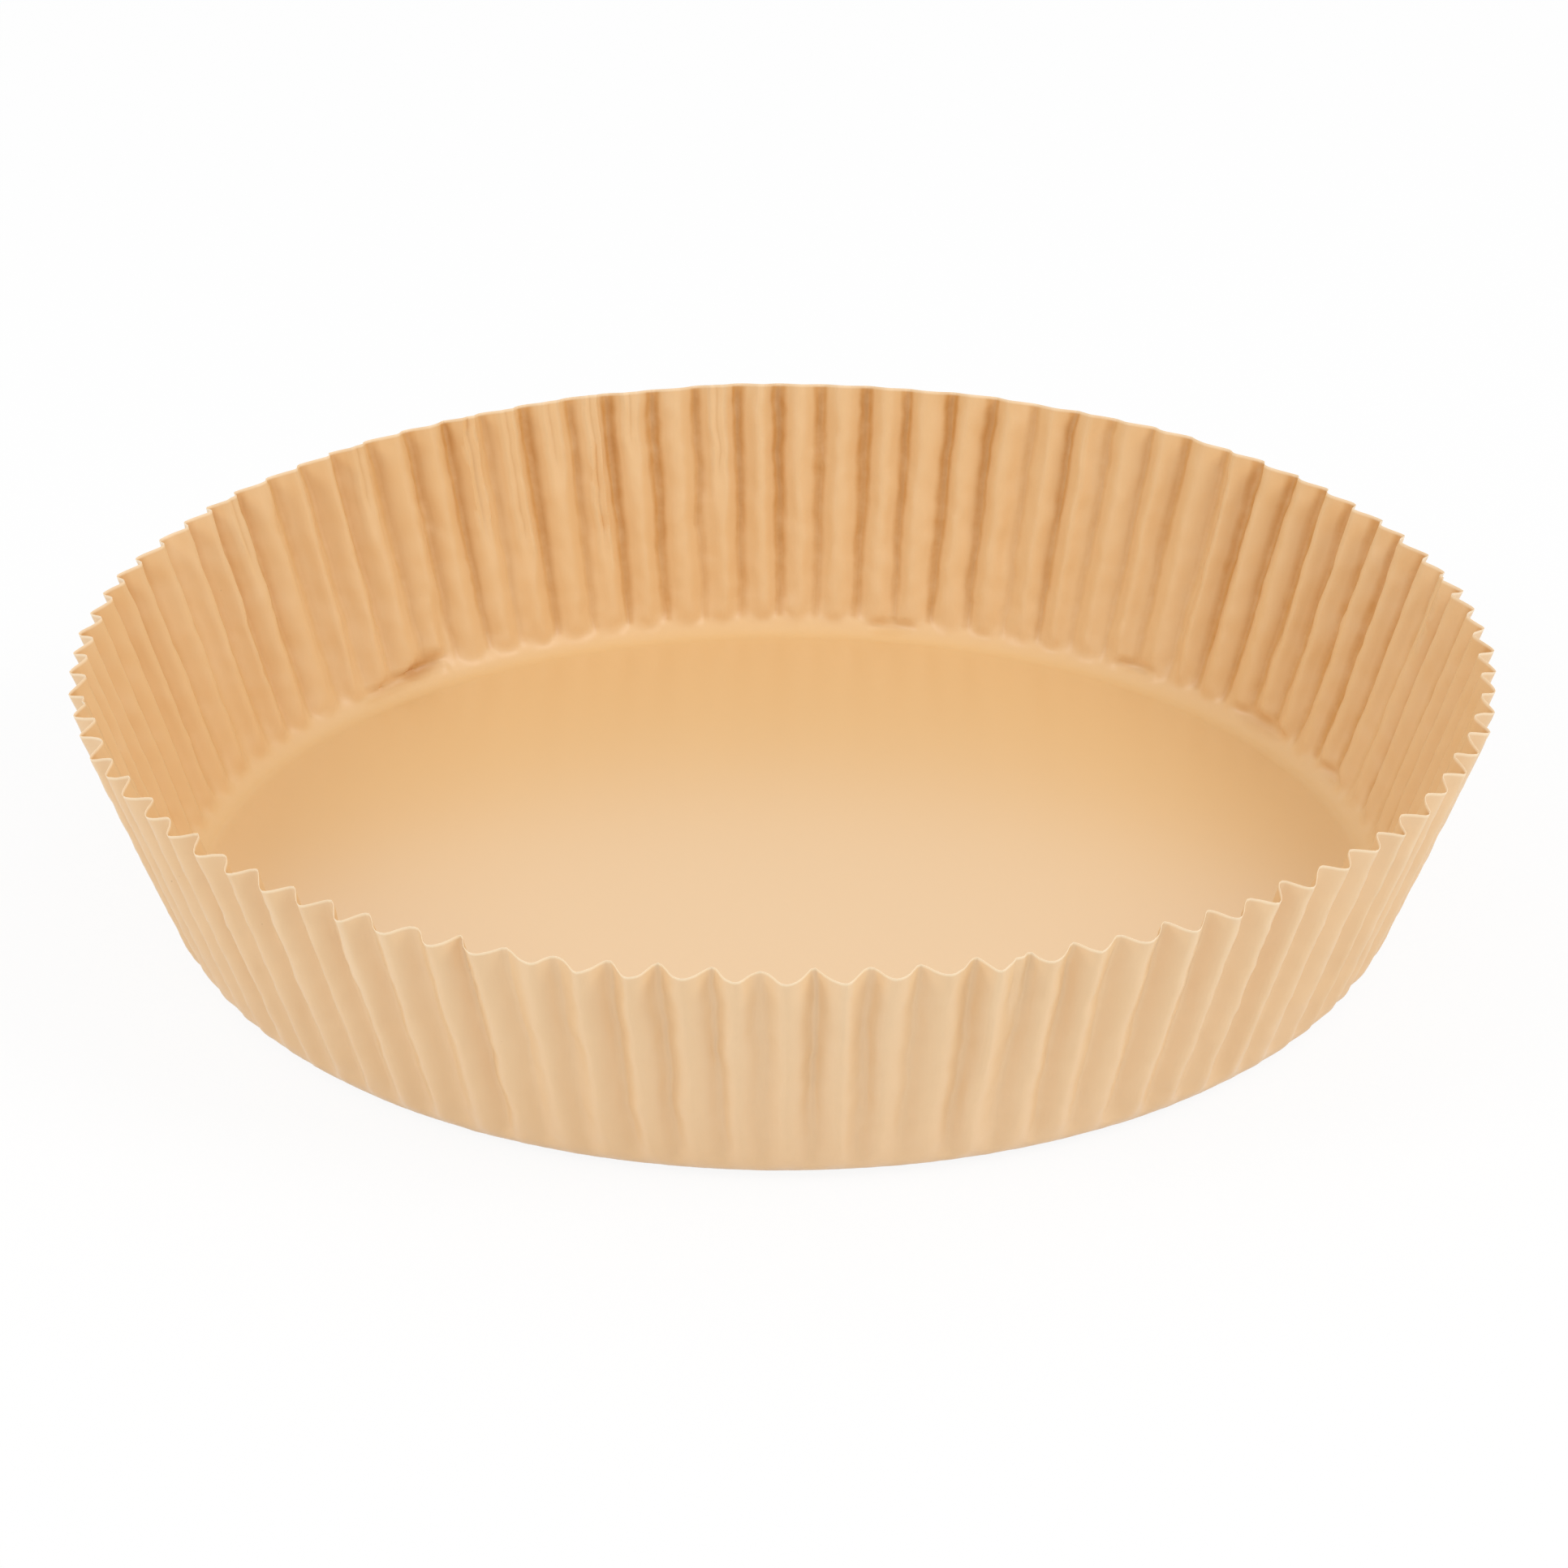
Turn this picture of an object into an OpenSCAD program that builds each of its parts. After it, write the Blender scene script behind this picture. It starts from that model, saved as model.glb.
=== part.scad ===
// Round pleated paper liner for an air fryer basket, in millimetres.
// One sheet of baking parchment, pressed into a flat floor and a fluted wall that leans outwards.
// The origin is the centre of the floor's underside, and +Z points out of the open top.

/* [Floor] */
// Diameter of the base, measured where the wall's line meets the table
base_d = 206; // [160:1:216]
// Radius of the soft crease between the floor and the wall
crease_r = 5; // [1.5:0.5:8]

/* [Wall] */
// Diameter of the rim, measured along the middle of the pleats
rim_d = 238; // [224:1:280]
// Height of the rim above the table, measured along the middle of the pleats
rim_h = 44; // [30:1:60]

/* [Pleats] */
// Number of pleats round the wall
pleat_count = 92; // [60:1:96]
// Depth of a pleat at the rim, from its inner fold to its outer fold
pleat_depth = 3; // [1:0.1:3.4]
// Depth of a pleat at the top of the crease, below which it fades into the floor
pleat_start_depth = 1; // [0.2:0.1:1.2]
// Share of a pleat that one flat fold takes, the rest being its two sides
fold_share = 0.22; // [0.12:0.01:0.34]
// How much broader the outer folds are than the inner ones, 0 for equal folds
fold_bias = 0.08; // [0:0.02:0.24]

/* [Paper] */
// Thickness of the parchment
paper_t = 0.06; // [0.05:0.01:0.2]

/* [Hidden] */

// A pleat has four corners, two on its outer fold and two on its inner one. Each has a place, in
// parts of a pleat from the middle of the outer fold, and a side, 1 for outer and -1 for inner.
outer_share = fold_share * (1 + fold_bias);
inner_share = fold_share * (1 - fold_bias);
corner_places = [-outer_share / 2, outer_share / 2, (1 - inner_share) / 2, (1 + inner_share) / 2];
corner_sides = [1, 1, -1, -1];
pleat_corners = len(corner_places);
ring_steps = pleat_count * pleat_corners;

// The wall's line leaves the base at lean degrees from the vertical
lean = atan2((rim_d - base_d) / 2, rim_h);
wall_length = norm([(rim_d - base_d) / 2, rim_h]);
// The crease turns the sheet from level to the wall's slope
crease_turn = 90 - lean;
crease_setback = crease_r * tan(crease_turn / 2);
floor_r = base_d / 2 - crease_setback;
crease_centre = [floor_r, paper_t / 2 + crease_r];

// Rings of the sheet from the floor's edge to the rim: first the crease, then the wall.
// Each crease ring is a share of the turn, and each wall ring a share of the wall's length.
crease_shares = [0, 0.5, 1];
wall_shares = [1];
ring_count = len(crease_shares) + len(wall_shares);

// Middle of the sheet as [radius, height] on the crease and on the wall
function on_crease(share) = crease_centre
    + crease_r * [sin(crease_turn * share), -cos(crease_turn * share)];
function on_wall(share) = let (along = crease_setback + (wall_length - crease_setback) * share)
    [base_d / 2, paper_t / 2] + along * [sin(lean), cos(lean)];

// Half the pleat's depth on each ring. It starts on the crease and is full at the rim.
function half_depth_on_crease(share) = pleat_start_depth / 2 * pow(share, 2);
function half_depth_on_wall(share) =
    (pleat_start_depth + (pleat_depth - pleat_start_depth) * share) / 2;

// Each ring as [radius, height, half depth, slope from level]
rings = concat(
    [for (share = crease_shares)
        concat(on_crease(share), half_depth_on_crease(share), crease_turn * share)],
    [for (share = wall_shares)
        concat(on_wall(share), half_depth_on_wall(share), crease_turn)]
);

// Corner of the middle of the sheet on a ring. The folds move it square to the wall's slope.
function sheet_point(ring, step) =
    let (
        row = rings[ring],
        around = (step + ring_steps) % ring_steps,
        which = around % pleat_corners,
        offset = row[2] * corner_sides[which],
        radius = row[0] + offset * sin(row[3]),
        turn = 360 / pleat_count * (floor(around / pleat_corners) + corner_places[which])
    )
    [radius * cos(turn), radius * sin(turn), row[1] - offset * cos(row[3])];

function unit(v) = v / norm(v);

// Direction square to the sheet, towards the inside of the cup
function sheet_normal(ring, step) = ring == 0 ? [0, 0, 1] :
    let (
        here = sheet_point(ring, step),
        above = sheet_point(min(ring + 1, ring_count - 1), step),
        below = sheet_point(ring - 1, step),
        round = unit(sheet_point(ring, step + 1) - here) + unit(here - sheet_point(ring, step - 1))
    )
    unit(cross(above - below, round));

// One face of the paper, half the thickness from the middle: side is 1 for inside, -1 for outside
function skin(side) = [
    for (ring = [0 : ring_count - 1], step = [0 : ring_steps - 1])
        sheet_point(ring, step) + side * paper_t / 2 * sheet_normal(ring, step)
];

function corner(side_index, ring, step) =
    (side_index * ring_count + ring) * ring_steps + step % ring_steps;

// Two triangles between four corners, listed clockwise as seen from outside the solid
function panel(a, b, c, d) = [[a, b, c], [a, c, d]];

module liner() {
    last = ring_count - 1;
    inside_panels = [
        for (ring = [0 : last - 1], step = [0 : ring_steps - 1])
            each panel(corner(0, ring, step), corner(0, ring, step + 1),
                corner(0, ring + 1, step + 1), corner(0, ring + 1, step))
    ];
    outside_panels = [
        for (ring = [0 : last - 1], step = [0 : ring_steps - 1])
            each panel(corner(1, ring, step), corner(1, ring + 1, step),
                corner(1, ring + 1, step + 1), corner(1, ring, step + 1))
    ];
    rim_panels = [
        for (step = [0 : ring_steps - 1])
            each panel(corner(0, last, step), corner(0, last, step + 1),
                corner(1, last, step + 1), corner(1, last, step))
    ];
    floor_top = [for (step = [ring_steps - 1 : -1 : 0]) corner(0, 0, step)];
    floor_bottom = [for (step = [0 : ring_steps - 1]) corner(1, 0, step)];
    color("burlywood")
        polyhedron(
            points = concat(skin(1), skin(-1)),
            faces = concat([floor_top], [floor_bottom], inside_panels, outside_panels, rim_panels),
            convexity = 6
        );
}

liner();
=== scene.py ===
import math

import bpy
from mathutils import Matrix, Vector


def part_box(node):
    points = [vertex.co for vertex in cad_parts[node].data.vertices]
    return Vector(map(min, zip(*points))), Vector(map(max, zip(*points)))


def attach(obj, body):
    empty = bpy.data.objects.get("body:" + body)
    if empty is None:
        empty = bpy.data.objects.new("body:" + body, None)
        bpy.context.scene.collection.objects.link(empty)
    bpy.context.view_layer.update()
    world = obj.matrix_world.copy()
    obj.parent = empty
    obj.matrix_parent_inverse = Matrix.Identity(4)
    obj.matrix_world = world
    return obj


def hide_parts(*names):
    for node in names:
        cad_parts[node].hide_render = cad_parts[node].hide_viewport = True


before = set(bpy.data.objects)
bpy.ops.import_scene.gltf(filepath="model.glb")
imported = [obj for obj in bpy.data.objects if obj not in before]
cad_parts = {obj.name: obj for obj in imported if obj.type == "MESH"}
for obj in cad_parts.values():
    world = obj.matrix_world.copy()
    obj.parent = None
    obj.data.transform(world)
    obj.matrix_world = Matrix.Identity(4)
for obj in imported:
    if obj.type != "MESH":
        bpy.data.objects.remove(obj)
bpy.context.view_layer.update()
linerLow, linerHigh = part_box("liner")
print("frame loaded, liner", [round(v * 1000, 1) for v in linerHigh - linerLow], "mm")


# Small helpers for node trees

def feed(tree, value, socket):
    # links a socket to a socket, or sets a plain value
    if isinstance(value, bpy.types.NodeSocket):
        tree.links.new(value, socket)
    elif value is not None:
        socket.default_value = value


def calc(tree, operation, *values, clamp=False):
    node = tree.nodes.new("ShaderNodeMath")
    node.operation = operation
    node.use_clamp = clamp
    for value, socket in zip(values, node.inputs):
        feed(tree, value, socket)
    return node.outputs[0]


def vectorCalc(tree, operation, *values):
    node = tree.nodes.new("ShaderNodeVectorMath")
    node.operation = operation
    for value, socket in zip(values, node.inputs):
        feed(tree, value, socket)
    return node.outputs["Value" if operation in ("DOT_PRODUCT", "LENGTH") else "Vector"]


def mapTo(tree, value, fromLow, fromHigh, toLow=0.0, toHigh=1.0, smooth=False):
    node = tree.nodes.new("ShaderNodeMapRange")
    node.interpolation_type = "SMOOTHSTEP" if smooth else "LINEAR"
    for given, name in ((value, "Value"), (fromLow, "From Min"), (fromHigh, "From Max"),
                        (toLow, "To Min"), (toHigh, "To Max")):
        feed(tree, given, node.inputs[name])
    return node.outputs["Result"]


def noise(tree, place, scale, detail=2.0, roughness=0.5, shift=0.0):
    # 4D noise, where the fourth number is the seed
    node = tree.nodes.new("ShaderNodeTexNoise")
    node.noise_dimensions = "4D"
    feed(tree, place, node.inputs["Vector"])
    feed(tree, shift, node.inputs["W"])
    feed(tree, scale, node.inputs["Scale"])
    feed(tree, detail, node.inputs["Detail"])
    feed(tree, roughness, node.inputs["Roughness"])
    return node.outputs["Fac"]


def signedNoise(tree, place, scale, **more):
    return calc(tree, "MULTIPLY_ADD", noise(tree, place, scale, **more), 2.0, -1.0)


def addSockets(tree, direction, sockets):
    for name, kind in sockets:
        tree.interface.new_socket(name, in_out=direction, socket_type=kind)


# The liner: one pleated sheet of parchment

liner = {
    "rimHeight": 0.044,         # middle of the folds at the rim
    "rimRadius": 0.119,
    "baseRadius": 0.103,        # where the wall's line meets the table
    "creaseRadius": 0.005,
    "thickness": 0.00006,
    "pleats": 92,
    "rimDepth": 0.0030,         # fold to fold at the rim
    "startDepth": 0.0010,       # fold to fold at the top of the crease
    "crispness": 0.72,          # near 0 the folds are a plain wave, near 1 a sharp zigzag
    "uneven": 1.0,              # how far the folds stray from an even wave
    "firstOuterFold": 0.4,      # degrees
    "doubledTurn": 107.0,       # middle of the arc where most inner folds have a soft second groove
    "doubledArc": 16.0,         # half the arc, in degrees
    "doubledDepth": 0.0009,
    "pointsPerPleat": 12,
    "floorRows": 4,
    "creaseRows": 8,
    "wallRows": 32,
    "seed": 4.0,
}

# How the folds stray: waves of the noise per metre, amount, and shift of the seed
strays = {
    "edge": {"perMetre": 45.0, "amount": 0.0006, "shift": 0.0},      # height of the rim, metres
    "spacing": {"perMetre": 70.0, "amount": 1.5, "shift": 10.0},     # phase, radians
    "wander": {"perMetre": 90.0, "amount": 0.75, "shift": 20.0},
    "wobble": {"perMetre": 260.0, "amount": 0.45, "shift": 30.0},
    "skew": {"perMetre": 90.0, "amount": 0.55, "shift": 60.0},
    "lean": {"perMetre": 110.0, "amount": 0.45, "shift": 50.0},
    "crumple": {"perMetre": 330.0, "amount": 0.0003, "shift": 40.0},     # metres
}

# How each fold differs from its neighbours
foldLook = {
    "leanToFront": -0.15,       # share by which inner folds are broader at the front
    "depthSpread": 0.55,
    "startLow": 0.4,            # upturn at which a fold may begin, 1 at the top of the crease
    "startSpread": 0.35,
    "startFull": 1.1,
    "chanceInArc": 0.85,        # share of the inner folds that are doubled
    "chanceOutside": 0.12,
    "reachLow": 0.55,           # share of the wall above which a second groove runs
    "reachSpread": 0.5,
    "reachFade": 0.3,
    # painted shade: the groove colour stands for the shade deep in the pleats, laid on by these shares
    # and not by the lamps
    "darkLeast": 0.6,           # how dark a fold's groove is painted
    "darkMost": 1.3,
    # painted shade grows from the foot to the rim, where the pleats are deeper
    "darkAtFoot": 0.65,
    "darkAtRim": 1.1,
    # less painted shade past the doubled arc, where the wall faces the stronger lamp
    "darkPastDoubled": 0.7,
    # painted shade in a doubled fold's second groove, and in a tuck
    "darkDoubled": 0.5,
    "darkTuck": 0.55,
}
mergeDistance = 0.000002        # metres
sharpAngle = 70                 # degrees

# Places where the pressed sheet is tucked or dented: degrees round from +X, millimetres up the wall
# from its foot, half length, half width and depth outwards in millimetres, and tilt in degrees
tucks = [
    {"turn": 133.0, "up": 2.6, "length": 12.0, "width": 1.5, "depth": 1.2, "tilt": -5.0},
    {"turn": 129.4, "up": 3.6, "length": 5.5, "width": 2.2, "depth": 1.3, "tilt": -10.0},
    {"turn": 126.9, "up": 9.0, "length": 8.0, "width": 1.9, "depth": 0.8, "tilt": 88.0},
    {"turn": 78.8, "up": 1.8, "length": 5.2, "width": 1.5, "depth": 0.9, "tilt": -3.0},
    {"turn": 51.2, "up": 3.0, "length": 5.0, "width": 1.4, "depth": 1.0, "tilt": -4.0},
    {"turn": 33.6, "up": 2.8, "length": 9.0, "width": 1.8, "depth": 1.2, "tilt": 0.0},
    {"turn": 20.1, "up": 2.9, "length": 4.5, "width": 1.5, "depth": 1.1, "tilt": 0.0},
    {"turn": 141.6, "up": 36.5, "length": 3.8, "width": 0.9, "depth": 0.5, "tilt": 10.0},
    {"turn": 125.5, "up": 27.5, "length": 2.8, "width": 1.0, "depth": 0.5, "tilt": -20.0},
    {"turn": 86.8, "up": 32.5, "length": 2.0, "width": 0.8, "depth": -0.6, "tilt": 20.0},
]


def makeTuckGroup():
    # a smooth hollow, 1 deep in the middle, out to an oval whose half axes are 1
    group = bpy.data.node_groups.new("tuck", "GeometryNodeTree")
    addSockets(group, "INPUT", [("Place", "NodeSocketVector"), ("Centre", "NodeSocketVector"),
                                ("Long Axis", "NodeSocketVector"), ("Short Axis", "NodeSocketVector"),
                                ("Depth", "NodeSocketFloat")])
    addSockets(group, "OUTPUT", [("Push", "NodeSocketFloat")])
    given = group.nodes.new("NodeGroupInput").outputs
    away = vectorCalc(group, "SUBTRACT", given["Place"], given["Centre"])
    alongShare = vectorCalc(group, "DOT_PRODUCT", away, given["Long Axis"])
    acrossShare = vectorCalc(group, "DOT_PRODUCT", away, given["Short Axis"])
    square = calc(group, "MULTIPLY_ADD", alongShare, alongShare,
                  calc(group, "MULTIPLY", acrossShare, acrossShare))
    inside = calc(group, "MAXIMUM", calc(group, "SUBTRACT", 1.0, square), 0.0)
    steep = calc(group, "MULTIPLY_ADD", acrossShare, 0.6, 1.0)      # deepest near its upper edge
    push = calc(group, "MULTIPLY", calc(group, "MULTIPLY", inside, steep), given["Depth"])
    group.links.new(push, group.nodes.new("NodeGroupOutput").inputs["Push"])
    return group


def linerTree(sizes, material):
    tree = bpy.data.node_groups.new("pleated sheet", "GeometryNodeTree")
    addSockets(tree, "OUTPUT", [("Geometry", "NodeSocketGeometry")])
    floats = ["Rim Radius", "Rim Height", "Base Radius", "Crease Radius", "Thickness", "Rim Depth",
              "Start Depth", "Crispness", "Uneven", "First Outer Fold", "Doubled Turn", "Doubled Arc",
              "Doubled Depth", "Seed"]
    counts = ["Pleats", "Points Per Pleat", "Floor Rows", "Crease Rows", "Wall Rows"]
    addSockets(tree, "INPUT", [(name, "NodeSocketFloat") for name in floats]
               + [(name, "NodeSocketInt") for name in counts]
               + [("Paper", "NodeSocketMaterial")])
    given = tree.nodes.new("NodeGroupInput").outputs

    def c(operation, *values, **more):
        return calc(tree, operation, *values, **more)

    def strayNoise(name, place, **more):
        # noise from -1 to 1
        return signedNoise(tree, place, strays[name]["perMetre"],
                           shift=c("ADD", given["Seed"], strays[name]["shift"]), **more)

    def strayOf(name, place, **more):
        return c("MULTIPLY", strayNoise(name, place, **more), strays[name]["amount"])

    # a flat grid: X runs round the liner, Y from the middle of the floor to the rim
    rows = c("ADD", c("ADD", given["Floor Rows"], given["Crease Rows"]), given["Wall Rows"])
    grid = tree.nodes.new("GeometryNodeMeshGrid")
    grid.inputs["Size X"].default_value = 1.0
    grid.inputs["Size Y"].default_value = 1.0
    feed(tree, c("MULTIPLY_ADD", given["Pleats"], given["Points Per Pleat"], 1.0),
         grid.inputs["Vertices X"])
    feed(tree, c("ADD", rows, 1.0), grid.inputs["Vertices Y"])
    flat = tree.nodes.new("ShaderNodeSeparateXYZ")
    feed(tree, tree.nodes.new("GeometryNodeInputPosition").outputs[0], flat.inputs[0])
    turn = c("MULTIPLY", c("ADD", flat.outputs["X"], 0.5), 2 * math.pi)
    row = c("MULTIPLY", c("ADD", flat.outputs["Y"], 0.5), rows)

    # share of the floor, the crease and the wall that lies below each row
    creaseStart = given["Floor Rows"]
    wallStart = c("ADD", given["Floor Rows"], given["Crease Rows"])
    floorLeft = mapTo(tree, row, 0.0, creaseStart, 1.0, 0.0)
    floorShare = c("SUBTRACT", 1.0, c("MULTIPLY", floorLeft, floorLeft))
    creaseShare = mapTo(tree, row, creaseStart, wallStart)
    wallShare = c("POWER", mapTo(tree, row, wallStart, rows), 1.2)

    # the middle of the sheet without its folds
    flare = c("SUBTRACT", given["Rim Radius"], given["Base Radius"])
    slope = c("ARCTAN2", given["Rim Height"], flare)
    setback = c("MULTIPLY", given["Crease Radius"], c("TANGENT", c("DIVIDE", slope, 2.0)))
    floorRadius = c("SUBTRACT", given["Base Radius"], setback)
    lengthSquare = c("MULTIPLY_ADD", flare, flare,
                     c("MULTIPLY", given["Rim Height"], given["Rim Height"]))
    wallLength = c("SUBTRACT", c("SQRT", lengthSquare), setback)
    bend = c("MULTIPLY", slope, creaseShare)
    bendSin = c("SINE", bend)
    bendCos = c("COSINE", bend)
    atRim = tree.nodes.new("ShaderNodeCombineXYZ")
    feed(tree, given["Rim Radius"], atRim.inputs["X"])
    feed(tree, given["Rim Radius"], atRim.inputs["Y"])
    onCircle = tree.nodes.new("ShaderNodeCombineXYZ")
    feed(tree, c("COSINE", turn), onCircle.inputs["X"])
    feed(tree, c("SINE", turn), onCircle.inputs["Y"])
    rimPlace = vectorCalc(tree, "MULTIPLY", onCircle.outputs[0], atRim.outputs[0])
    edgeWave = strayOf("edge", rimPlace)
    wallUp = c("MULTIPLY", wallShare, c("ADD", wallLength, c("MULTIPLY", edgeWave, given["Uneven"])))
    baseRadial = c("ADD", c("MULTIPLY", floorShare, floorRadius),
                   c("MULTIPLY_ADD", given["Crease Radius"], bendSin,
                     c("MULTIPLY", wallUp, c("COSINE", slope))))
    baseHeight = c("ADD", c("MULTIPLY", given["Crease Radius"], c("SUBTRACT", 1.0, bendCos)),
                   c("MULTIPLY_ADD", wallUp, c("SINE", slope), c("DIVIDE", given["Thickness"], 2.0)))

    def placeAt(angle, radial, height):
        node = tree.nodes.new("ShaderNodeCombineXYZ")
        feed(tree, c("MULTIPLY", radial, c("COSINE", angle)), node.inputs["X"])
        feed(tree, c("MULTIPLY", radial, c("SINE", angle)), node.inputs["Y"])
        feed(tree, height, node.inputs["Z"])
        return node.outputs[0]

    # phase of the wave: 0 on an outer fold, half a turn on an inner one. The folds stray by moving
    # the columns of points round, so that each fold keeps its own columns.
    phase = c("MULTIPLY", turn, given["Pleats"])
    evenPlace = placeAt(turn, baseRadial, baseHeight)
    spacing = strayOf("spacing", rimPlace)
    wander = strayOf("wander", evenPlace)
    wobble = strayOf("wobble", evenPlace)
    stray = c("MULTIPLY", c("ADD", c("ADD", spacing, wander), wobble), given["Uneven"])
    turn = c("SUBTRACT", c("ADD", turn, c("RADIANS", given["First Outer Fold"])),
             c("DIVIDE", stray, given["Pleats"]))
    smoothPlace = placeAt(turn, baseRadial, baseHeight)
    skew = c("MULTIPLY", strayOf("skew", rimPlace), given["Uneven"])
    plain = c("COSINE", c("MULTIPLY_ADD", skew, c("SUBTRACT", 1.0, c("COSINE", phase)), phase))
    lean = c("MULTIPLY_ADD", strayNoise("lean", smoothPlace), strays["lean"]["amount"],
             c("MULTIPLY", c("SINE", turn), foldLook["leanToFront"]))
    lean = c("MULTIPLY", lean, given["Uneven"])
    plain = c("MULTIPLY_ADD", lean, c("SUBTRACT", 1.0, c("MULTIPLY", plain, plain)), plain)
    wave = c("DIVIDE", c("ARCSINE", c("MULTIPLY", plain, given["Crispness"])),
             c("ARCSINE", given["Crispness"]))

    # each fold has a depth of its own, and outer and inner folds meet where the wave is zero
    turns = c("DIVIDE", phase, 2 * math.pi)
    outerIndex = c("FLOORED_MODULO", c("FLOOR", c("ADD", turns, 0.5)), given["Pleats"])
    innerIndex = c("ADD", c("FLOORED_MODULO", c("FLOOR", turns), given["Pleats"]), 500.0)
    isOuter = c("GREATER_THAN", plain, 0.0)
    foldIndex = c("ADD", c("MULTIPLY", isOuter, outerIndex),
                  c("MULTIPLY", c("SUBTRACT", 1.0, isOuter), innerIndex))
    dice = tree.nodes.new("ShaderNodeTexWhiteNoise")
    dice.noise_dimensions = "2D"
    diceSeed = tree.nodes.new("ShaderNodeCombineXYZ")
    feed(tree, foldIndex, diceSeed.inputs["X"])
    feed(tree, given["Seed"], diceSeed.inputs["Y"])
    feed(tree, diceSeed.outputs[0], dice.inputs["Vector"])
    ownDepth = c("MULTIPLY_ADD", c("SUBTRACT", dice.outputs["Value"], 0.5),
                 c("MULTIPLY", given["Uneven"], foldLook["depthSpread"]), 1.0)
    upturn = c("ADD", creaseShare, wallShare)
    startLow = c("MULTIPLY_ADD", dice.outputs["Value"], foldLook["startSpread"], foldLook["startLow"])
    startShare = mapTo(tree, upturn, startLow, foldLook["startFull"], smooth=True)
    grown = c("MULTIPLY", c("SUBTRACT", given["Rim Depth"], given["Start Depth"]), c("SQRT", wallShare))
    depth = c("MULTIPLY_ADD", given["Start Depth"], startShare, grown)
    foldPush = c("MULTIPLY", c("MULTIPLY", wave, c("DIVIDE", depth, 2.0)), ownDepth)

    # some inner folds are doubled, most of them in the arc: a soft second groove runs down their
    # middle from the rim
    odds = tree.nodes.new("ShaderNodeTexWhiteNoise")
    odds.noise_dimensions = "2D"
    oddsSeed = tree.nodes.new("ShaderNodeCombineXYZ")
    feed(tree, innerIndex, oddsSeed.inputs["X"])
    feed(tree, c("ADD", given["Seed"], 7.0), oddsSeed.inputs["Y"])
    feed(tree, oddsSeed.outputs[0], odds.inputs["Vector"])
    # turn from the middle of the arc, 1 at its end
    arcTurn = c("DIVIDE", c("SUBTRACT", turn, c("RADIANS", given["Doubled Turn"])),
                c("RADIANS", given["Doubled Arc"]))
    chance = mapTo(tree, c("ABSOLUTE", arcTurn), 0.8, 1.2,
                   foldLook["chanceInArc"], foldLook["chanceOutside"])
    isDoubled = c("GREATER_THAN", chance, odds.outputs["Value"])
    reachStart = c("SUBTRACT", foldLook["reachLow"],
                   c("MULTIPLY", odds.outputs["Value"], foldLook["reachSpread"]))
    reach = mapTo(tree, wallShare, reachStart, c("ADD", reachStart, foldLook["reachFade"]), smooth=True)
    doubledShare = c("MULTIPLY", c("MULTIPLY", isDoubled, reach), given["Uneven"])
    inner = c("MAXIMUM", c("MULTIPLY", c("COSINE", phase), -1.0), 0.0)
    groovePush = c("MULTIPLY", inner, c("COSINE", c("MULTIPLY", phase, 2.0)))
    doubledPush = c("MULTIPLY", c("MULTIPLY", doubledShare, groovePush), given["Doubled Depth"])

    # small wrinkles on the wall, and tucks at its foot
    crumple = strayOf("crumple", smoothPlace, detail=3.0)
    wrinkle = c("MULTIPLY", c("MULTIPLY", crumple, creaseShare), given["Uneven"])
    tuckPush = 0.0
    tuckGroup = makeTuckGroup()
    slopeNow = math.atan2(sizes["rimHeight"], sizes["rimRadius"] - sizes["baseRadius"])
    for tuck in tucks:
        tuckTurn = math.radians(tuck["turn"])
        outwards = Vector((math.cos(tuckTurn), math.sin(tuckTurn), 0.0))
        round_ = Vector((-math.sin(tuckTurn), math.cos(tuckTurn), 0.0))
        upWall = outwards * math.cos(slopeNow) + Vector((0.0, 0.0, math.sin(slopeNow)))
        tilt = math.radians(tuck["tilt"])
        longAxis = round_ * math.cos(tilt) + upWall * math.sin(tilt)
        shortAxis = upWall * math.cos(tilt) - round_ * math.sin(tilt)
        node = tree.nodes.new("GeometryNodeGroup")
        node.node_tree = tuckGroup
        feed(tree, smoothPlace, node.inputs["Place"])
        node.inputs["Centre"].default_value = outwards * sizes["baseRadius"] + upWall * tuck["up"] / 1000
        node.inputs["Long Axis"].default_value = longAxis * 1000 / tuck["length"]
        node.inputs["Short Axis"].default_value = shortAxis * 1000 / tuck["width"]
        node.inputs["Depth"].default_value = tuck["depth"] / 1000
        tuckPush = c("ADD", tuckPush, node.outputs["Push"])
    tuckShare = c("DIVIDE", tuckPush, c("MULTIPLY", given["Rim Depth"], 0.5))
    foldLeft = c("SUBTRACT", 1.0, c("MINIMUM", c("MAXIMUM", tuckShare, 0.0), 1.0))
    push = c("ADD", c("MULTIPLY_ADD", foldPush, foldLeft, wrinkle), c("ADD", tuckPush, doubledPush))

    # the sheet moves square to itself, and never below the table
    foldedRadial = c("MULTIPLY_ADD", push, bendSin, baseRadial)
    foldedHeight = c("SUBTRACT", baseHeight, c("MULTIPLY", push, bendCos))
    foldedHeight = c("MAXIMUM", foldedHeight, c("DIVIDE", given["Thickness"], 2.0))
    folded = placeAt(turn, foldedRadial, foldedHeight)

    # what the materials read: how much painted shade a point gets in the grooves (below zero on the
    # ridges), and how far up the sheet it is, from 0 on the floor through 1 at the top of the crease to
    # 2 at the rim
    geometry = grid.outputs["Mesh"]
    ownShare = mapTo(tree, dice.outputs["Value"], 0.0, 1.0, foldLook["darkLeast"], foldLook["darkMost"])
    upShare = mapTo(tree, wallShare, 0.0, 1.0, foldLook["darkAtFoot"], foldLook["darkAtRim"])
    foldShade = c("MULTIPLY", c("MULTIPLY", plain, ownShare), c("MULTIPLY", startShare, upShare))
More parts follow.
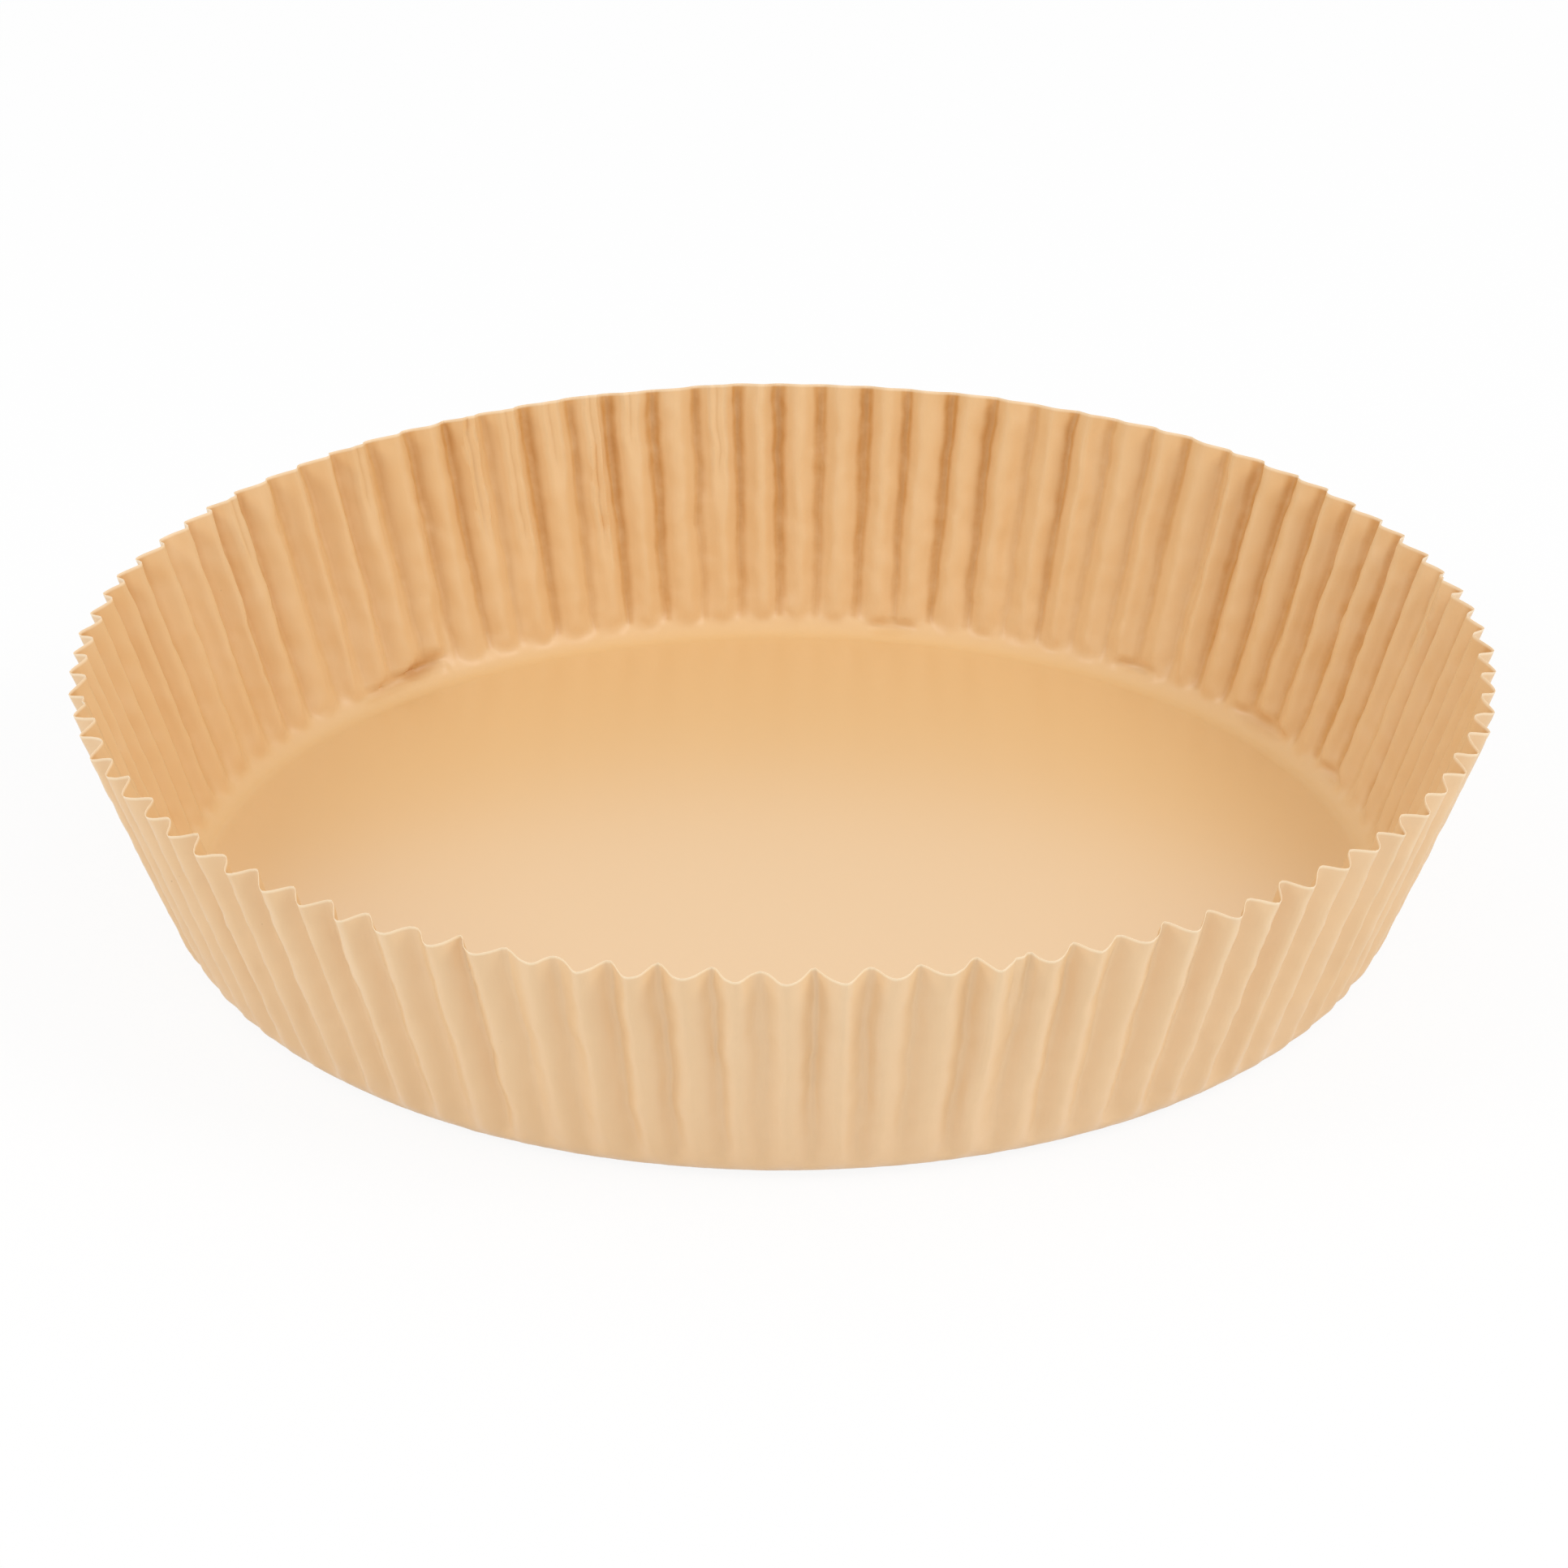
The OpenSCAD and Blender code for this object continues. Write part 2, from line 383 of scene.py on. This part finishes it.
    # less painted shade in the grooves past the doubled folds, where the wall faces the stronger lamp,
    # and soft painted shade in a second groove
    shadePastDoubled = mapTo(tree, arcTurn, -0.4, 1.4, 1.0, foldLook["darkPastDoubled"], smooth=True)
    foldShade = c("MULTIPLY", foldShade, shadePastDoubled)
    doubledShade = c("MULTIPLY", doubledShare, c("POWER", inner, 3.0))
    foldShade = c("MULTIPLY_ADD", doubledShade, c("SUBTRACT", foldLook["darkDoubled"], foldShade),
                  foldShade)
    # tucks get painted shade too, in place of the fold's
    paintedShade = c("MAXIMUM", c("MULTIPLY", foldShade, foldLeft),
             c("MULTIPLY", tuckShare, foldLook["darkTuck"]))
    for name, value in (("groove", paintedShade), ("upturn", upturn)):
        store = tree.nodes.new("GeometryNodeStoreNamedAttribute")
        store.data_type = "FLOAT"
        store.domain = "POINT"
        store.inputs["Name"].default_value = name
        feed(tree, geometry, store.inputs["Geometry"])
        feed(tree, value, store.inputs["Value"])
        geometry = store.outputs["Geometry"]
    move = tree.nodes.new("GeometryNodeSetPosition")
    feed(tree, geometry, move.inputs["Geometry"])
    feed(tree, folded, move.inputs["Position"])
    merge = tree.nodes.new("GeometryNodeMergeByDistance")
    merge.inputs["Distance"].default_value = mergeDistance
    feed(tree, move.outputs[0], merge.inputs["Geometry"])
    smooth = tree.nodes.new("GeometryNodeSetShadeSmooth")
    feed(tree, merge.outputs[0], smooth.inputs["Geometry"])
    realize = tree.nodes.new("GeometryNodeRealizeInstances")
    feed(tree, smooth.outputs[0], realize.inputs["Geometry"])
    paint = tree.nodes.new("GeometryNodeSetMaterial")
    feed(tree, realize.outputs[0], paint.inputs["Geometry"])
    feed(tree, given["Paper"], paint.inputs["Material"])
    feed(tree, paint.outputs[0], tree.nodes.new("NodeGroupOutput").inputs["Geometry"])
    return tree


def makeLiner(sizes, outside, inside):
    tree = linerTree(sizes, outside)
    holder = bpy.data.objects.new("linerHolder", bpy.data.meshes.new("linerHolder"))
    bpy.context.scene.collection.objects.link(holder)
    nodesModifier = holder.modifiers.new("pleats", "NODES")
    nodesModifier.node_group = tree
    identifiers = {item.name: item.identifier for item in tree.interface.items_tree
                   if item.in_out == "INPUT"}
    for key, value in sizes.items():
        words = "".join(" " + letter if letter.isupper() else letter for letter in key).title()
        nodesModifier[identifiers[words]] = value
    nodesModifier[identifiers["Paper"]] = outside
    shell = holder.modifiers.new("paper", "SOLIDIFY")
    shell.thickness = sizes["thickness"]
    shell.offset = 0.0
    shell.use_rim = True
    evaluated = holder.evaluated_get(bpy.context.evaluated_depsgraph_get())
    mesh = bpy.data.meshes.new_from_object(evaluated)
    holder.modifiers.clear()
    bpy.data.objects.remove(holder)
    mesh.name = "pleatedSheet"
    mesh.materials.clear()
    mesh.materials.append(outside)
    mesh.materials.append(inside)
    # the faces come as one skin, the other skin, then the rim
    rimFaces = sizes["pleats"] * sizes["pointsPerPleat"]
    skinFaces = (len(mesh.polygons) - rimFaces) // 2
    firstInside = 0 if mesh.polygons[0].normal.z > 0 else skinFaces
    slots = [0] * len(mesh.polygons)
    slots[firstInside:firstInside + skinFaces] = [1] * skinFaces
    mesh.polygons.foreach_set("material_index", slots)
    mesh.set_sharp_from_angle(angle=math.radians(sharpAngle))
    piece = bpy.data.objects.new("pleatedSheet", mesh)
    bpy.context.scene.collection.objects.link(piece)
    print("liner made,", len(mesh.polygons), "faces")
    return piece


# Unbleached parchment

# The inside colours are deeper and warmer than the outside ones: painted shade and bounce light inside
# the liner; both sides are the same paper.
parchment = {
    # each side's groove colour is painted shade for the hollows of the pleats
    "inside": {"pale": (0.81, 0.55, 0.287, 1.0), "tan": (0.785, 0.505, 0.238, 1.0),
               "floor": (0.78, 0.50, 0.220, 1.0), "groove": (0.60, 0.295, 0.078, 1.0)},
    "outside": {"pale": (0.845, 0.60, 0.355, 1.0), "tan": (0.815, 0.56, 0.31, 1.0),
                "floor": (0.83, 0.58, 0.33, 1.0), "groove": (0.70, 0.44, 0.21, 1.0)},
    "fleck": (0.42, 0.25, 0.12, 1.0),
    # edge: pale tone for the painted highlight on the ridges and along the rim
    "edge": (0.93, 0.74, 0.50, 1.0),
    "grooveShadeStrength": 0.85,
    "ridgeHighlightStrength": 0.36,
    "cloudSize": 0.06,       # metres
    "mottleSize": 0.004,
    "fibreSize": 0.0012,
    "roughness": 0.42,
    "coat": 1.0,
    "wallCoat": 0.05,
    "coatRoughness": 0.3,
    "coatIor": 2.1,
}


def makeFibreGroup(look):
    group = bpy.data.node_groups.new("paper fibre", "ShaderNodeTree")
    addSockets(group, "INPUT", [("Place", "NodeSocketVector")])
    addSockets(group, "OUTPUT", [("Cloud", "NodeSocketFloat"), ("Mottle", "NodeSocketFloat"),
                                 ("Fleck", "NodeSocketFloat"), ("Height", "NodeSocketFloat")])
    place = group.nodes.new("NodeGroupInput").outputs["Place"]
    cloud = noise(group, place, 1 / look["cloudSize"], detail=3.0, shift=1.0)
    mottle = noise(group, place, 1 / look["mottleSize"], detail=3.0, roughness=0.6, shift=2.0)
    fibre = noise(group, place, 1 / look["fibreSize"], detail=2.0, shift=3.0)
    speck = noise(group, place, 900.0, detail=1.0, shift=4.0)
    done = group.nodes.new("NodeGroupOutput").inputs
    feed(group, mapTo(group, cloud, 0.3, 0.7, smooth=True), done["Cloud"])
    feed(group, mapTo(group, mottle, 0.3, 0.7), done["Mottle"])
    feed(group, mapTo(group, speck, 0.80, 0.86), done["Fleck"])
    feed(group, calc(group, "MULTIPLY_ADD", mottle, 0.6, fibre), done["Height"])
    return group


def mixColour(tree, share, first, second):
    node = tree.nodes.new("ShaderNodeMix")
    node.data_type = "RGBA"
    feed(tree, share, node.inputs["Factor"])
    feed(tree, first, node.inputs["A"])
    feed(tree, second, node.inputs["B"])
    return node.outputs["Result"]


def makeParchment(side, look, fibreGroup, grooveSign):
    # grooveSign is 1 where outer folds are the grooves, on the inside, and -1 on the outside
    colours = look[side]
    material = bpy.data.materials.new("parchment " + side)
    material.use_nodes = True
    tree = material.node_tree
    shader = tree.nodes["Principled BSDF"]
    fibre = tree.nodes.new("ShaderNodeGroup")
    fibre.node_tree = fibreGroup
    feed(tree, tree.nodes.new("ShaderNodeTexCoord").outputs["Object"], fibre.inputs["Place"])
    fold = tree.nodes.new("ShaderNodeAttribute")
    fold.attribute_name = "groove"
    upturn = tree.nodes.new("ShaderNodeAttribute")
    upturn.attribute_name = "upturn"
    depth = calc(tree, "MULTIPLY", fold.outputs["Fac"], grooveSign)
    patchy = calc(tree, "MULTIPLY_ADD", fibre.outputs["Mottle"], 0.5, 0.65)
    # painted shade deep in the grooves, patchy with the mottle
    groove = calc(tree, "MULTIPLY", mapTo(tree, depth, 0.15, 1.0, smooth=True), patchy, clamp=True)
    # painted highlight along the ridges
    ridgeHighlight = mapTo(tree, depth, -0.7, -1.0)
    tone = mixColour(tree, fibre.outputs["Cloud"], colours["pale"], colours["tan"])
    tone = mixColour(tree, calc(tree, "MULTIPLY", fibre.outputs["Mottle"], 0.45), tone, colours["tan"])
    tone = mixColour(tree, mapTo(tree, upturn.outputs["Fac"], 0.1, 0.9), colours["floor"], tone)
    # paint the groove colour in as shade
    paintedGrooveShade = calc(tree, "MULTIPLY", groove, look["grooveShadeStrength"])
    tone = mixColour(tree, paintedGrooveShade, tone, colours["groove"])
    # painted highlight on the ridges
    tone = mixColour(tree, calc(tree, "MULTIPLY", ridgeHighlight, look["ridgeHighlightStrength"]), tone, look["edge"])
    tone = mixColour(tree, calc(tree, "MULTIPLY", fibre.outputs["Fleck"], 0.5), tone, look["fleck"])
    # a thin pale band at the top of the rim: painted highlight on the cut edge
    tone = mixColour(tree, mapTo(tree, upturn.outputs["Fac"], 1.985, 1.995), tone, look["edge"])
    feed(tree, tone, shader.inputs["Base Color"])
    shader.inputs["Roughness"].default_value = look["roughness"]
    sheen = mapTo(tree, upturn.outputs["Fac"], 0.0, 0.3, look["coat"], look["wallCoat"])
    feed(tree, calc(tree, "MULTIPLY", sheen, calc(tree, "SUBTRACT", 1.0, groove)),
         shader.inputs["Coat Weight"])
    shader.inputs["Coat Roughness"].default_value = look["coatRoughness"]
    shader.inputs["Coat IOR"].default_value = look["coatIor"]
    bump = tree.nodes.new("ShaderNodeBump")
    bump.inputs["Strength"].default_value = 0.25
    bump.inputs["Distance"].default_value = 0.0001
    feed(tree, fibre.outputs["Height"], bump.inputs["Height"])
    feed(tree, bump.outputs["Normal"], shader.inputs["Normal"])
    return material


fibreGroup = makeFibreGroup(parchment)
paperOutside = makeParchment("outside", parchment, fibreGroup, -1.0)
paperInside = makeParchment("inside", parchment, fibreGroup, 1.0)
pleatedSheet = makeLiner(liner, paperOutside, paperInside)
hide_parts("liner")
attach(pleatedSheet, "root")


# Studio: pale floor, even white surround, two soft lamps

studio = {
    "floorSize": 6.0,
    "surround": 0.79,       # 1 lights a surface as its colour is written
}

# Soft lamps, each aimed at the liner
lamps = [
    {"name": "lampRight", "place": (1.2, -0.6, 1.3), "size": 0.9, "watts": 9.8},
    {"name": "lampLeft", "place": (-1.1, -0.6, 1.0), "size": 0.6, "watts": 4.6},
]


def whiteToCamera(tree):
    # 1 for what the camera sees straight, in gloss or through a clear thing
    path = tree.nodes.new("ShaderNodeLightPath")
    seen = calc(tree, "MAXIMUM", path.outputs["Is Camera Ray"], path.outputs["Is Glossy Ray"])
    return calc(tree, "MAXIMUM", seen, path.outputs["Is Transmission Ray"])


def makeStudio(look):
    material = bpy.data.materials.new("studio floor")
    material.use_nodes = True
    tree = material.node_tree
    shader = tree.nodes["Principled BSDF"]
    shader.inputs["Base Color"].default_value = (0.9, 0.9, 0.9, 1.0)
    shader.inputs["Roughness"].default_value = 0.9
    glow = tree.nodes.new("ShaderNodeEmission")
    mix = tree.nodes.new("ShaderNodeMixShader")
    feed(tree, calc(tree, "MULTIPLY", whiteToCamera(tree), 0.9), mix.inputs["Fac"])
    tree.links.new(shader.outputs[0], mix.inputs[1])
    tree.links.new(glow.outputs[0], mix.inputs[2])
    tree.links.new(mix.outputs[0], tree.nodes["Material Output"].inputs["Surface"])
    half = look["floorSize"] / 2
    below = -0.0003      # just under the paper
    mesh = bpy.data.meshes.new("studioFloor")
    corners = [(-half, -half, below), (half, -half, below), (half, half, below), (-half, half, below)]
    mesh.from_pydata(corners, [], [(0, 1, 2, 3)])
    mesh.materials.append(material)
    floor = bpy.data.objects.new("studioFloor", mesh)
    bpy.context.scene.collection.objects.link(floor)

    world = bpy.data.worlds.new("surround")
    world.use_nodes = True
    tree = world.node_tree
    background = tree.nodes["Background"]
    background.inputs["Color"].default_value = (1.0, 1.0, 1.0, 1.0)
    feed(tree, mapTo(tree, whiteToCamera(tree), 0.0, 1.0, look["surround"], 1.0),
         background.inputs["Strength"])
    bpy.context.scene.world = world

    for spec in lamps:
        lamp = bpy.data.lights.new(spec["name"], "AREA")
        lamp.shape = "DISK"
        lamp.size = spec["size"]
        lamp.energy = spec["watts"]
        lampObject = bpy.data.objects.new(spec["name"], lamp)
        lampObject.location = spec["place"]
        lampObject.rotation_euler = (-Vector(spec["place"])).to_track_quat("-Z", "Y").to_euler()
        bpy.context.scene.collection.objects.link(lampObject)
    print("studio made")


# Camera, from the photograph's perspective of the rim: distance in rim radii, angles in degrees

camera = {
    "distance": 8.159,
    "elevation": 24.70,
    "tiltDown": 26.04,
    "focalPixels": 7132,
    "imagePixels": 1932,
}


def makeCamera(look):
    cam = bpy.data.cameras.new("camera")
    cam.sensor_width = 36.0
    cam.lens = cam.sensor_width * look["focalPixels"] / look["imagePixels"]
    camObject = bpy.data.objects.new("camera", cam)
    away = look["distance"] * linerHigh.x
    elevation = math.radians(look["elevation"])
    height = liner["rimHeight"] + away * math.sin(elevation)
    camObject.location = (0.0, -away * math.cos(elevation), height)
    camObject.rotation_euler = (math.radians(90 - look["tiltDown"]), 0.0, 0.0)
    bpy.context.scene.collection.objects.link(camObject)
    bpy.context.scene.camera = camObject
    print("camera made, lens", round(cam.lens, 1), "mm")


makeStudio(studio)
makeCamera(camera)
bpy.context.scene.view_settings.view_transform = "Standard"
